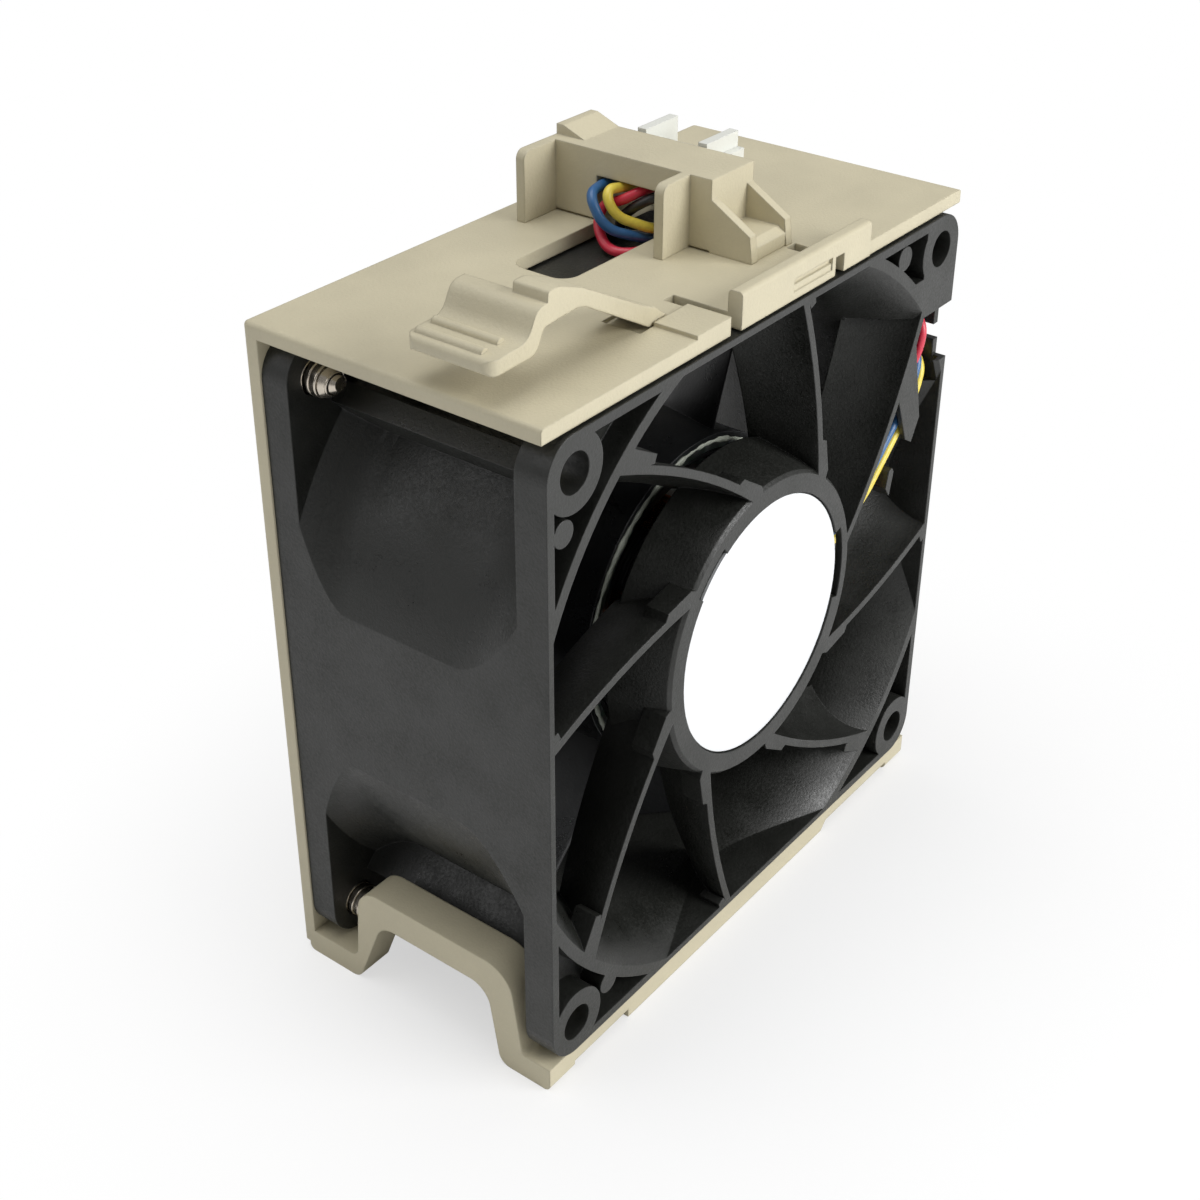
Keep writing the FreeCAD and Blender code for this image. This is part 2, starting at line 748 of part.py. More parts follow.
def board_parts():
    """Driver, capacitor and sensor behind the board, lead block before it."""
    driver = box(-chip_at - chip_width / 2, -chip_at + chip_width / 2, board_front - chip_height, board_front,
                 -chip_length / 2, chip_length / 2)
    sensor = box(-sensor_side / 2, sensor_side / 2, board_front - sensor_height, board_front,
                 sensor_at - sensor_side / 2, sensor_at + sensor_side / 2)
    can = rod(can_r, board_front - can_height, board_front, 0.0, -can_at)
    block = box(block_left, block_right, hub_floor, board_front, block_low, block_high)
    return [driver, sensor, can, block]


# ---------------------------------------------------------------- impeller
def blade_section(x, wrap, bow):
    """Thin cambered section across a blade, at one distance from the axis."""
    middle = (blade_front + blade_rear) / 2
    lead_edge = V(x, blade_rear, -wrap)
    trail_edge = V(x, blade_front, wrap)
    chord = (trail_edge - lead_edge).normalize()
    side = chord.cross(V(1, 0, 0))
    centre = V(x, middle, 0) + side * bow
    thick = side * (blade_thickness / 2)
    face = Part.Arc(lead_edge, centre + thick, trail_edge).toShape()
    back = Part.Arc(trail_edge, centre - thick, lead_edge).toShape()
    return Part.Wire([face, back])


def blade():
    """One twisted blade, cut to the hub and to the tip circle."""
    inner_x, outer_x = rotor_r * 0.6, tip_r * 1.02
    root_wrap = hub_wrap * 0.75
    middle_wrap = (root_wrap + tip_wrap) / 2
    sections = [blade_section(inner_x, root_wrap, hub_bow),
                blade_section((inner_x + outer_x) / 2, middle_wrap, middle_bow),
                blade_section(outer_x, tip_wrap, tip_bow)]
    return Part.makeLoft(sections, True).common(ring(tip_r, rotor_r - 0.3, rotor_front, rotor_rear))


def impeller():
    """Hub with a rounded rear end and its blades."""
    rear = rotor_rear - rotor_wall
    place = lambda a, b: V(a, b, 0)
    outline = [(rotor_r, rotor_rear, hub_round), (0, rotor_rear, 0), (0, rear, 0), (yoke_r, rear, 0),
               (yoke_r, rotor_front, 0), (rotor_r, rotor_front, 0)]
    hub = bent_face(outline, place).revolve(V(0, 0, 0), V(0, 1, 0), 360)
    one = blade()
    return joined([hub] + [spun(one, 360.0 * i / blade_count) for i in range(blade_count)])


# ---------------------------------------------------------------- carrier
def top_plate():
    """Plate over the fan and wall behind it, with their outer edges rounded."""
    plate = box(-carrier_half, carrier_half, plate_front, wall_rear, plate_low, plate_top)
    wall = box(-carrier_half, carrier_half, fan_depth, wall_rear, wall_low, plate_top)
    body = plate.fuse(wall).removeSplitter()
    upright = lambda e: runs_along(e, V(0, 0, 1)) and e.Vertexes[0].Y > wall_rear - 0.1
    body = rounded_edges(body, plate_corner_r, upright)
    top_rear = [e for e in body.Edges if runs_along(e, V(1, 0, 0)) and e.Vertexes[0].Y > wall_rear - 0.1
                and e.Vertexes[0].Z > plate_top - 0.1]
    return body.makeFillet(plate_edge_r, top_rear)


def wire_slot_hole():
    """Oval hole in the plate that the leads rise through."""
    x0, x1, y0, y1 = wire_slot
    hole = box(x0, x1, y0, y1, plate_low - 1, plate_top + 1)
    return rounded_edges(hole, wire_slot_r, lambda e: runs_along(e, V(0, 0, 1)))


def side_rail():
    """Bent strip under the fan that arches up between its flanges."""
    top = -half - bar_gap
    front, rear = front_flange, rear_flange_front
    low = arch_high - arch_thickness
    outline = [(plate_front, top, 0), (front + 0.5, top, 0.6), (front + 2.3, arch_high, arch_front_r),
               (rear - 4.7, arch_high, arch_rear_r), (rear - 3.7, top, 1.4), (wall_rear - 1, top, 0),
               (wall_rear - 1, foot_low, 0.8), (rear - 3.9, foot_low, 1.8), (rear - 8.1, low, arch_inner_r),
               (front + 5.6, low, arch_inner_r), (front + 3.8, foot_low, 1.6), (plate_front, foot_low, 0.9)]
    return bent_prism_x(outline, rail_inner, carrier_half)


def crossbar():
    """Front bar between the rails, deeper in its middle."""
    top = -half - bar_gap
    outline = [(-carrier_half, top), (carrier_half, top), (carrier_half, wall_low), (bar_bend_right, wall_low),
               (bar_bend_right - bar_bend_run, foot_low), (bar_bend_left, foot_low), (bar_bend_left, wall_low),
               (-carrier_half, wall_low)]
    return prism_y(outline, plate_front, crossbar_depth)


def latch_tongue_parts():
    """Lip along the plate's front edge and the low step beside it."""
    front = plate_front - 0.15
    lip = box(lip_left, lip_right, front, front + lip_thickness, plate_low, plate_top + lip_height)
    lip = rounded_edges(lip, lip_round, lambda e: runs_along(e, V(1, 0, 0)) and e.Vertexes[0].Z > plate_top + 1)
    inset = box(inset_left, inset_right, front - 1, front + inset_depth, plate_low + inset_low, plate_low + inset_high)
    step = box(step_left, lip_left - cut_width, plate_front, step_rear, plate_top - 0.5, plate_top + step_height)
    return lip.cut(inset), step


def hinge_seat():
    """Ramp on the plate whose hollow face holds the lever's knuckle."""
    root = plate_top - seat_root
    ramp = prism_y([(seat_right, root), (seat_right, plate_top + 0.1), (hinge_x + seat_root, plate_top + seat_high),
                    (hinge_x, hinge_z), (hinge_x, root)], lever_front, lever_rear)
    return ramp.cut(rod(knuckle_r + knuckle_gap, lever_front - 1, lever_rear + 1, hinge_x, hinge_z))


def hinge_trough():
    """Hollow in the plate below the lever's knuckle."""
    reach = knuckle_r + knuckle_gap
    trough = box(hinge_x - reach - 1, hinge_x + reach - 0.2, lever_front - knuckle_gap, lever_rear + knuckle_gap,
                 plate_top - seat_root, plate_top + 0.1)
    return trough.cut(hinge_seat())


def screw_profile(gap):
    """Half section of a countersunk screw from its point to its head's face, grown by a gap. The head's
    cone takes the whole thickness of the wall."""
    r, head = screw_r + gap, screw_head_r + gap
    return [(0, screw_tip), (screw_point_r, screw_tip), (r, screw_tip + screw_point), (r, fan_depth), (head, wall_rear),
            (head, wall_rear + screw_rim), (0, wall_rear + screw_rim)]


def carrier():
    """The one-piece moulded carrier without its lever."""
    rail = side_rail()
    pieces = [top_plate(), crossbar(), rail, rail.mirror(V(0, 0, 0), V(1, 0, 0)), hinge_seat()]
    body = joined(pieces + list(latch_tongue_parts())).cut(wire_slot_hole()).cut(hinge_trough())
    body = body.cut(box(lip_left - cut_width, lip_left, 0, left_cut_depth, plate_low - 1, plate_top + 1))
    body = body.cut(box(right_cut_left, right_cut_left + cut_width, 0, right_cut_depth, plate_low - 1,
                        plate_top + lip_round))
    body = body.cut(rod(carrier_intake_r, fan_depth - 1, wall_rear + 1))
    for x, z in corners:
        seat = turned(screw_profile(screw_gap))
        seat.translate(V(x, 0, z))
        body = body.cut(seat)
    return body


# ---------------------------------------------------------------- latch lever
def latch_lever():
    """Sprung arm that rises from the plate to a thumb pad."""
    z = plate_top
    across, up = arm_tangent
    ends = [(hinge_x + across, hinge_z + up, 0), (hinge_x - across, hinge_z - up, 0)]
    arm = bent_prism_y([(x, z + h, r) for x, h, r in arm_outline] + ends, lever_front, lever_rear)
    knuckle = rod(knuckle_r, lever_front, lever_rear, hinge_x, hinge_z)
    pad = bent_prism_y([(x, z + h, r) for x, h, r in pad_outline], lever_front, lever_front + pad_width)
    end = min(x for x, h, r in pad_outline)
    plan = box(end, pad_outline[0][0] + 1, lever_front, lever_front + pad_width, z, holder_top)
    plan = rounded_edges(plan, pad_corner_r, lambda e: runs_along(e, V(0, 0, 1)) and e.Vertexes[0].X < end + 0.1)
    pad = pad.common(plan)
    ribs = [rod(grip_r, lever_front + grip_inset + pad_corner_r, lever_front + pad_width - grip_inset, x, z + h)
            for x, h in grips]
    return joined([arm, knuckle, pad] + ribs)


# ---------------------------------------------------------------- connector
def connector_holder():
    """Housing on the plate that grips the connector, with two wings and two gussets."""
    z = plate_top
    body = box(holder_left, holder_right, holder_front, holder_rear, z + holder_seam, holder_top)
    foot = box(holder_left + holder_foot, holder_right - holder_foot, holder_front + holder_foot,
               holder_rear - holder_foot, z, z + holder_seam + 0.1)
    back = holder_front + 0.1
    gusset = [(back, holder_top - gusset_drop), (holder_front, holder_top - gusset_drop),
              (gusset_front + 0.4, z + gusset_high), (gusset_front, z), (back, z)]
    gussets = [prism_x(gusset, holder_left, holder_left + holder_wall),
               prism_x(gusset, holder_right - holder_wall, holder_right)]
    ledge = prism_x([(gusset_front + 0.2, z), (gusset_front + 0.2, z + gusset_high / 2),
                     (gusset_front + 1.2, z + ledge_high), (back, z + ledge_high), (back, z)],
                    holder_left, holder_right)
    wings = [box(rear_wing_left, holder_left + 0.1, holder_rear - wing_thickness, holder_rear, z, holder_top),
             box(wing_left, holder_left + 0.1, wing_front, wing_front + wing_thickness, z, holder_top)]
    left_top = lambda e: (runs_along(e, V(0, 1, 0)) and e.Vertexes[0].X < 0 and e.Vertexes[0].Z > holder_top - 0.1)
    wings = [rounded_edges(wing, wing_r, left_top) for wing in wings]
    ramp = prism_x([(ramp_front, holder_top), (holder_rear, holder_top), (holder_rear, holder_top + ramp_height),
                    (holder_rear - 1, holder_top + ramp_height)], ramp_left, holder_right)
    shape = joined([body, foot, ledge, ramp] + gussets + wings)
    low, high = connector_front - connector_gap, connector_rear + connector_gap
    cavity = box(holder_left + holder_wall, holder_right + 1, low, high, z - 1, holder_top - holder_roof)
    window = box(holder_left - 1, holder_left + holder_wall + 1, low, window_rear, z - 1, z + window_high)
    return shape.cut(cavity).cut(window)


def connector_housing():
    """White plug body with two guide ribs on its mating side."""
    low, high = plate_top + connector_low, holder_top - holder_roof - connector_gap
    shape = box(connector_left, connector_right, connector_front, connector_rear, low, high)
    shape = rounded_edges(shape, connector_round, lambda e: runs_along(e, V(1, 0, 0)))
    outside = holder_right + 2 * connector_gap
    rib = [(outside, high - 0.5), (outside, holder_top + guide_rise), (guide_right, holder_top + guide_rise),
           (guide_right, low + 1.0), (connector_right - 1, low + 1.0), (connector_right - 1, high - 0.5)]
    ribs = [prism_y(rib, y, y + guide_thickness) for y in (guide_front, guide_rear)]
    foot = box(connector_right - 1, guide_right, connector_front, guide_front + 0.1, low + 1.0, high + 0.2)
    shape = joined([shape, foot] + ribs)
    for i in range(terminal_count):
        y, side = terminal_y(i), terminal_hole
        shape = shape.cut(box(connector_left + terminal_depth, connector_right + 1, y - side, y + side,
                              terminal_z - side, terminal_z + side))
    return shape


def terminal_y(i):
    """Depth of one of the connector's ways."""
    return connector_middle + terminal_pitch * (i - (terminal_count - 1) / 2)


def connector_terminals():
    """Metal pins in the connector's ways."""
    pins = []
    side = terminal_half
    for i in range(terminal_count):
        y = terminal_y(i)
        pins.append(box(connector_left + terminal_depth, connector_right - 1.5, y - side, y + side,
                        terminal_z - side, terminal_z + side))
    return pins


# ---------------------------------------------------------------- screws
def rear_screws():
    """Four countersunk screws through the carrier's rear wall into the frame."""
    screw = turned(screw_profile(0))
    face = wall_rear + screw_rim
    long, wide = recess_length / 2, recess_width / 2
    for x, z in ((long, wide), (wide, long)):
        screw = screw.cut(box(-x, x, face - recess_depth, face + 1, -z, z))
    screws = []
    for x, z in corners:
        copy = screw.copy()
        copy.translate(V(x, 0, z))
        screws.append(copy)
    return screws


# ---------------------------------------------------------------- leads
# Each route runs from the block on the board, through the hub's door, beside the vane, out of the
# notch, up the frame's corner, under the plate, up through the slot and round into the connector.
routes = {
    "lead_black": [(14.0, 4.15, 2.4), (18.9, 4.15, 2.4), (22.9, 2.9, 7.3), (27.5, 3.0, 13.4), (31.4, 4.2, 19.4),
                   (35.6, 5.0, 23.6), (36.0, 9.0, 28.6), (36.0, 12.6, 31.6), (37.2, 13.2, 36.0),
                   (35.8, 13.2, 39.3), (29.4, 17.7, 39.4), (22.0, 22.2, 39.4), (15.2, 25.6, 39.35),
                   (9.0, 25.4, 39.6), (4.6, 25.0, 41.0), (4.1, 25.0, 43.2), (4.7, 23.2, 44.9), (5.2, 21.2, 46.2),
                   (6.4, 20.04, 46.6),
                   (7.5, 20.04, 46.6)],
    "lead_red": [(14.0, 4.15, 1.0), (19.4, 4.15, 1.0), (24.0, 2.8, 6.2), (30.2, 2.8, 12.2), (33.0, 2.6, 17.4),
                 (35.4, 1.5, 21.8), (36.1, 1.5, 25.4), (37.9, 5.3, 26.4), (38.2, 5.45, 36.3), (36.2, 6.9, 39.3),
                 (29.4, 12.4, 39.4), (22.0, 16.9, 39.4), (15.2, 20.95, 39.35), (8.6, 20.9, 39.5),
                 (5.6, 20.85, 40.7), (2.0, 20.9, 40.72), (0.5, 22.6, 40.75), (1.0, 24.7, 41.0), (1.7, 26.3, 42.7),
                 (3.3, 26.9, 44.7), (3.8, 24.6, 45.5), (5.2, 22.9, 46.6), (6.4, 22.58, 46.6), (7.5, 22.58, 46.6)],
    "lead_yellow": [(14.0, 2.8, 1.0), (19.4, 2.8, 1.0), (24.5, 1.4, 6.5), (30.9, 1.4, 12.1), (35.5, 1.5, 16.3),
                    (37.5, 1.9, 19.6), (38.4, 9.2, 23.6), (38.4, 8.95, 36.0), (36.2, 10.5, 39.3),
                    (29.4, 15.9, 39.4), (22.0, 20.4, 39.4), (15.2, 24.05, 39.35), (12.6, 23.9, 39.6),
                    (9.2, 22.7, 41.5), (5.2, 20.8, 42.5), (2.2, 24.2, 44.25), (2.0, 25.6, 47.1),
                    (5.6, 25.12, 46.6), (7.5, 25.12, 46.6)],
    "lead_blue": [(14.0, 2.8, 2.4), (18.9, 2.8, 2.4), (23.4, 1.4, 7.4), (29.8, 1.4, 13.2), (34.2, 1.5, 17.1),
                  (36.6, 1.9, 20.9), (38.3, 7.4, 25.2), (38.3, 7.15, 36.2), (36.2, 8.7, 39.3), (29.4, 14.1, 39.4),
                  (22.0, 18.65, 39.4), (15.2, 22.45, 39.35), (9.0, 22.35, 39.7), (3.6, 21.85, 41.85),
                  (0.7, 24.6, 43.1), (0.9, 26.9, 46.6), (4.0, 27.66, 46.6), (7.5, 27.66, 46.6)],
}


def tube(points, r):
    """Straight runs joined by tangent arcs, as large as their runs allow."""
    points = [V(*p) for p in points]
    edges, start = [], points[0]
    for before, here, after in zip(points, points[1:], points[2:]):
        a, middle, b = bend(before, here, after, (after - here).Length + (here - before).Length)
        edges += [Part.makeLine(start, a), Part.Arc(a, middle, b).toShape()]
        start = b
    edges.append(Part.makeLine(start, points[-1]))
    path = Part.Wire(edges)
    mouth = Part.Wire([Part.makeCircle(r, points[0], points[1] - points[0])])
    solid = path.makePipeShell([mouth], True, False)
    tightest = min(edge.Curve.Radius for edge in edges if edge.Curve.TypeId == "Part::GeomCircle")
    print("   length", round(path.Length, 1), "tightest bend", round(tightest, 2),
          "volume share", round(solid.Volume / (math.pi * r * r * path.Length), 4))
    return solid


# ---------------------------------------------------------------- nodes
def main():
    os.makedirs("parts", exist_ok=True)
    write("fan_frame", fan_frame())
    write("label_disc", label_disc())
    write("bearing_tube", bearing_tube())
    write("bearing_outer_rings", *bearing_outer_rings())
    write("bearing_inner_rings", *bearing_inner_rings())
    write("bearing_balls", *bearing_balls())
    write("preload_washer", preload_washer())
    write("shaft", shaft())
    write("retaining_clip", retaining_clip())
    write("rotor_yoke", rotor_yoke())
    write("magnet_ring", magnet_ring())
    write("impeller", impeller())
    write("stator_core", stator_core())
    write("stator_insulator", stator_insulator())
    write("stator_coils", *stator_coils())
    write("driver_board", driver_board())
    write("board_parts", *board_parts())
    write("carrier", carrier())
    write("latch_lever", latch_lever())
    write("connector_holder", connector_holder())
    write("connector_housing", connector_housing())
    write("connector_terminals", *connector_terminals())
    write("rear_screws", *rear_screws())
    for name, points in routes.items():
        write(name, tube(points, lead_r))


if __name__ == "__main__":
    main()
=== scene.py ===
"""Dresses the server fan module: finishes for every part, screw threads, the adhesive bead, the latch
lever's flexing root, the stage and the camera."""
import json
import math

import bpy
import numpy as np
from mathutils import Matrix, Vector


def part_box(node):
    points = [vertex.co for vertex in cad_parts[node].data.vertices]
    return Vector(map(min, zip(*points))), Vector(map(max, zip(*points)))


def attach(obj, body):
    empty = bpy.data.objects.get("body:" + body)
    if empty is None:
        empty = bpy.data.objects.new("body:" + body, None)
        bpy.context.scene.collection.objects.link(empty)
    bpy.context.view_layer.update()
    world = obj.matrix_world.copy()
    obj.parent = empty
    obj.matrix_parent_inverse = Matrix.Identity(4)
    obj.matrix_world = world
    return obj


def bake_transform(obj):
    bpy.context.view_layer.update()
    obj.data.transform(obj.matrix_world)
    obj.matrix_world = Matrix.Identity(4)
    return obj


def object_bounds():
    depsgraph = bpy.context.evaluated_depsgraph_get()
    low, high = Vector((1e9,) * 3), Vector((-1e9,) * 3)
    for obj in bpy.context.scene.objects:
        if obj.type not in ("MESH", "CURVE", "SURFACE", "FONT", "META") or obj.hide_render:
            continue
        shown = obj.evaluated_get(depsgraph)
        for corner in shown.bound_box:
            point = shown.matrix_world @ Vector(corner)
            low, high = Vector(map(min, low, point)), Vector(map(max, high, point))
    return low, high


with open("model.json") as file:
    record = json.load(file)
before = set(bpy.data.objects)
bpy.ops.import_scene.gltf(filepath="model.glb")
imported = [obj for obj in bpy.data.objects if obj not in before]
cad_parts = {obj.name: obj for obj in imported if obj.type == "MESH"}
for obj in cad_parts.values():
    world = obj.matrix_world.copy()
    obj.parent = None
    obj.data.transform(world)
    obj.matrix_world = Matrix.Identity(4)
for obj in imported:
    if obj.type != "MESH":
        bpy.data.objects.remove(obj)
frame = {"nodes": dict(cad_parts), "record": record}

bl_info = {
    "name": "Server fan module",
    "version": (1, 0, 0),
    "blender": (4, 5, 0),
    "location": "View3D > Sidebar > Fan module",
    "description": "Finishes, screw threads, adhesive bead and stage for an 80 mm fan in its latch carrier",
    "category": "Object",
}

CAD_BOX = [list(corner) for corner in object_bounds()]
MM = 0.001
NOISE_LOW, NOISE_HIGH = 0.3, 0.7    # most of a noise texture's values lie between these
WAVE_PERIOD = 0.314                 # mm between two bands of a wave texture whose scale is 1


# ---------------------------------------------------------------- colour and node helpers
def linear(hex_colour):
    """Linear RGBA of an sRGB hex colour: a channel is divided by 12.92 up to 0.04045, and above it gets
    0.055 added, is divided by 1.055 and raised to the power 2.4."""
    channels = [int(hex_colour[i:i + 2], 16) / 255 for i in (1, 3, 5)]
    return tuple(c / 12.92 if c <= 0.04045 else ((c + 0.055) / 1.055) ** 2.4 for c in channels) + (1.0,)


def add(tree, kind, settings=None, inputs=None, links=None):
    """Adds one node: settings are its attributes, inputs its sockets' values by name or number, and links
    maps its sockets to the output sockets that feed them."""
    node = tree.nodes.new(kind)
    for name, value in (settings or {}).items():
        setattr(node, name, value)
    for name, value in (inputs or {}).items():
        node.inputs[name].default_value = value
    for name, source in (links or {}).items():
        tree.links.new(source, node.inputs[name])
    return node


def new_material(name):
    """An empty node material with its output, and the object's own coordinates in millimetres."""
    material = bpy.data.materials.new(name)
    material.use_nodes = True
    tree = material.node_tree
    tree.nodes.clear()
    output = add(tree, "ShaderNodeOutputMaterial")
    place = add(tree, "ShaderNodeTexCoord")
    millimetres = add(tree, "ShaderNodeVectorMath", {"operation": "SCALE"}, {"Scale": 1000.0},
                      {0: place.outputs["Object"]})
    return material, tree, output, millimetres.outputs[0]


def spread(tree, source, source_low, source_high, low, high):
    """The output of a node that maps a value's range onto another one."""
    return add(tree, "ShaderNodeMapRange", {}, {1: source_low, 2: source_high, 3: low, 4: high},
               {0: source}).outputs[0]


def shade(tree, colour, source, reach, low, high):
    """A colour between two brightnesses of the given one, led by a texture's value: the low one where it is
    a half less the reach or under, and the high one where it is a half plus the reach or over."""
    dark, light = (tuple(c * level for c in colour[:3]) + (1.0,) for level in (low, high))
    share = spread(tree, source, 0.5 - reach, 0.5 + reach, 0.0, 1.0)
    return add(tree, "ShaderNodeMix", {"data_type": "RGBA"}, {6: dark, 7: light}, {0: share}).outputs[2]


def finish_surface(tree, output, constants, colour, normal, roughness=None):
    """Ends a material with its shader: constants are the shader's own values, the rest comes from nodes."""
    links = {"Base Color": colour, "Normal": normal}
    if roughness is not None:
        links["Roughness"] = roughness
    shader = add(tree, "ShaderNodeBsdfPrincipled", {}, constants, links)
    tree.links.new(shader.outputs[0], output.inputs[0])


def finish_mixed(tree, output, share, first, second):
    """Ends a material or a world with a mix of two shaders: the share goes to the second one."""
    mix = add(tree, "ShaderNodeMixShader", {}, {}, {0: share, 1: first.outputs[0], 2: second.outputs[0]})
    tree.links.new(mix.outputs[0], output.inputs[0])


# ---------------------------------------------------------------- materials
def moulded_plastic(name, colour, grain_mm, grain_depth_mm, cloud_mm, cloud, roughness, edge_mm, ior=1.53,
                    speck=0.3, matting=0.07, seam_mm=None):
    """Plastic from a spark-eroded mould. The mould leaves an even fine grain and slightly round edges, and
    the melt leaves faint clouds as it flows, so the eye sees a soft satin sheen that breaks up close to.
    The real grain is about 0.1 mm and is drawn coarser, so that it shows. The speck is the grain's share in
    the blotches, the rest is the clouds'. They lighten or darken the colour by the cloud, and turn the
    surface glossier or matter by the matting. A seam is the fine ridge where two halves of the mould met,
    at one depth."""
    material, tree, output, place = new_material(name)
    grain = add(tree, "ShaderNodeTexNoise", {}, {"Scale": 1 / grain_mm, "Detail": 3.0, "Roughness": 0.6},
                {"Vector": place}).outputs["Fac"]
    clouds = add(tree, "ShaderNodeTexNoise", {}, {"Scale": 1 / cloud_mm, "Detail": 5.0, "Roughness": 0.6},
                 {"Vector": place}).outputs["Fac"]
    blotch = add(tree, "ShaderNodeMix", {"data_type": "FLOAT"}, {0: speck}, {2: clouds, 3: grain}).outputs[0]
    tint = shade(tree, colour, blotch, reach=0.2, low=1 - cloud, high=1 + cloud)
    sheen = spread(tree, blotch, NOISE_LOW, NOISE_HIGH, roughness - matting, roughness + matting)
    height = grain
    if seam_mm is not None:
        seam_half_mm, seam_rise = 0.06, 1.5
        depth = add(tree, "ShaderNodeSeparateXYZ", {}, {}, {0: place}).outputs["Y"]
        ridge = add(tree, "ShaderNodeMath", {"operation": "COMPARE"}, {1: seam_mm, 2: seam_half_mm},
                    {0: depth}).outputs[0]
        height = add(tree, "ShaderNodeMath", {"operation": "MULTIPLY_ADD"}, {1: seam_rise},
                     {0: ridge, 2: height}).outputs[0]
    edge = add(tree, "ShaderNodeBevel", {"samples": 6}, {"Radius": edge_mm * MM})
    relief = add(tree, "ShaderNodeBump", {}, {"Strength": 0.7, "Distance": grain_depth_mm * MM},
                 {"Height": height, "Normal": edge.outputs[0]})
    finish_surface(tree, output, {"IOR": ior}, tint, relief.outputs[0], sheen)
    return material


def extruded_pvc(name, colour):
    """Flexible PVC insulation, drawn over the wire: smooth, a little waxy, with faint waves of the colour
    and of the surface that the die leaves."""
    wave_mm, ripple_mm, ripple_depth_mm = 0.625, 0.2, 0.03
    material, tree, output, place = new_material(name)
    waves = add(tree, "ShaderNodeTexNoise", {}, {"Scale": 1 / wave_mm, "Detail": 3.0}, {"Vector": place})
    tint = shade(tree, colour, waves.outputs["Fac"], reach=0.25, low=0.9, high=1.08)
    ripples = add(tree, "ShaderNodeTexNoise", {}, {"Scale": 1 / ripple_mm, "Detail": 2.0}, {"Vector": place})
    relief = add(tree, "ShaderNodeBump", {}, {"Strength": 0.3, "Distance": ripple_depth_mm * MM},
                 {"Height": ripples.outputs["Fac"]})
    waxy = {"IOR": 1.53, "Roughness": 0.38, "Coat Weight": 0.15, "Coat Roughness": 0.25}
    finish_surface(tree, output, waxy, tint, relief.outputs[0])
    return material


def metal(name, colour, roughness, line_mm, axis, depth_mm=0.004):
    """Bare or plated metal with the fine lines that turning, drawing or stamping leaves across one axis.
    Real lines are a tenth of a millimetre apart or less and are drawn coarser, so that they show. Faint
    spots in the colour and the gloss are the handling marks of a plain part."""
    spot_mm, polish, scuff = 1.25, 0.06, 0.1
    material, tree, output, place = new_material(name)
    lines = add(tree, "ShaderNodeTexWave", {"wave_type": "BANDS", "bands_direction": axis},
                {"Scale": WAVE_PERIOD / line_mm, "Distortion": 1.5, "Detail": 2.0, "Detail Scale": 1.5},
                {"Vector": place})
    spots = add(tree, "ShaderNodeTexNoise", {}, {"Scale": 1 / spot_mm, "Detail": 4.0},
                {"Vector": place}).outputs["Fac"]
    tint = shade(tree, colour, spots, reach=0.3, low=0.88, high=1.06)
    sheen = spread(tree, spots, NOISE_LOW, NOISE_HIGH, roughness - polish, roughness + scuff)
    relief = add(tree, "ShaderNodeBump", {}, {"Strength": 0.5, "Distance": depth_mm * MM},
                 {"Height": lines.outputs["Fac"]})
    finish_surface(tree, output, {"Metallic": 1.0}, tint, relief.outputs[0], sheen)
    return material


def coated_film(name, colour):
    """Self-adhesive polyester film: an even white coat with a slight orange peel and a soft gloss."""
    peel_mm, peel_depth_mm = 0.833, 0.02
    material, tree, output, place = new_material(name)
    peel = add(tree, "ShaderNodeTexNoise", {}, {"Scale": 1 / peel_mm, "Detail": 2.0},
               {"Vector": place}).outputs["Fac"]
    tint = shade(tree, colour, peel, reach=0.3, low=0.985, high=1.0)
    relief = add(tree, "ShaderNodeBump", {}, {"Strength": 0.25, "Distance": peel_depth_mm * MM},
                 {"Height": peel})
    finish_surface(tree, output, {"IOR": 1.5, "Roughness": 0.42}, tint, relief.outputs[0])
    return material


def wound_copper(name, colour, wire_mm):
    """Enamelled copper wire wound close: round ridges one wire apart under a glossy varnish. The colour
    carries painted shade in the grooves between the turns and a painted highlight on their crests, led by the
    same waves as the ridges.
    """
    turn_depth_mm = 0.1
    material, tree, output, place = new_material(name)
    turns = add(tree, "ShaderNodeTexWave", {"wave_type": "RINGS", "rings_direction": "Y"},
                {"Scale": WAVE_PERIOD / wire_mm, "Distortion": 0.3}, {"Vector": place}).outputs["Fac"]
    # painted shade and highlight: the colour darkens in the grooves between the turns and lightens on their
    # crests
    tint = shade(tree, colour, turns, reach=0.5, low=0.6, high=1.1)
    relief = add(tree, "ShaderNodeBump", {}, {"Strength": 0.8, "Distance": turn_depth_mm * MM},
                 {"Height": turns})
    varnished = {"Metallic": 0.9, "Roughness": 0.3, "Coat Weight": 0.6}
    finish_surface(tree, output, varnished, tint, relief.outputs[0])
    return material


def dress(material, *nodes):
    """Gives a material to CAD nodes, in each of their slots."""
    for name in nodes:
        part = frame["nodes"][name]
        if not part.material_slots:
            part.data.materials.append(material)
        for slot in part.material_slots:
            slot.link = "OBJECT"
            slot.material = material


# ---------------------------------------------------------------- mesh helpers
def grid_mesh(name, points, wrap_along, wrap_across):
    """A mesh from an array of points, rows along and columns across, with quads between neighbours. A quad
    joins (i, j), (i + 1, j), (i + 1, j + 1) and (i, j + 1), and the last row or column joins the first one
    where the surface wraps round."""
    rows, columns = points.shape[:2]
    i, j = np.meshgrid(np.arange(rows if wrap_along else rows - 1),
                       np.arange(columns if wrap_across else columns - 1), indexing="ij")
    right, down = (i + 1) % rows, (j + 1) % columns
    faces = np.stack([i * columns + j, right * columns + j, right * columns + down, i * columns + down], -1)
    mesh = bpy.data.meshes.new(name)
    mesh.from_pydata(points.reshape(-1, 3).tolist(), [], faces.reshape(-1, 4).tolist())
    mesh.polygons.foreach_set("use_smooth", np.ones(len(mesh.polygons), dtype=bool))
    mesh.update()
    return mesh


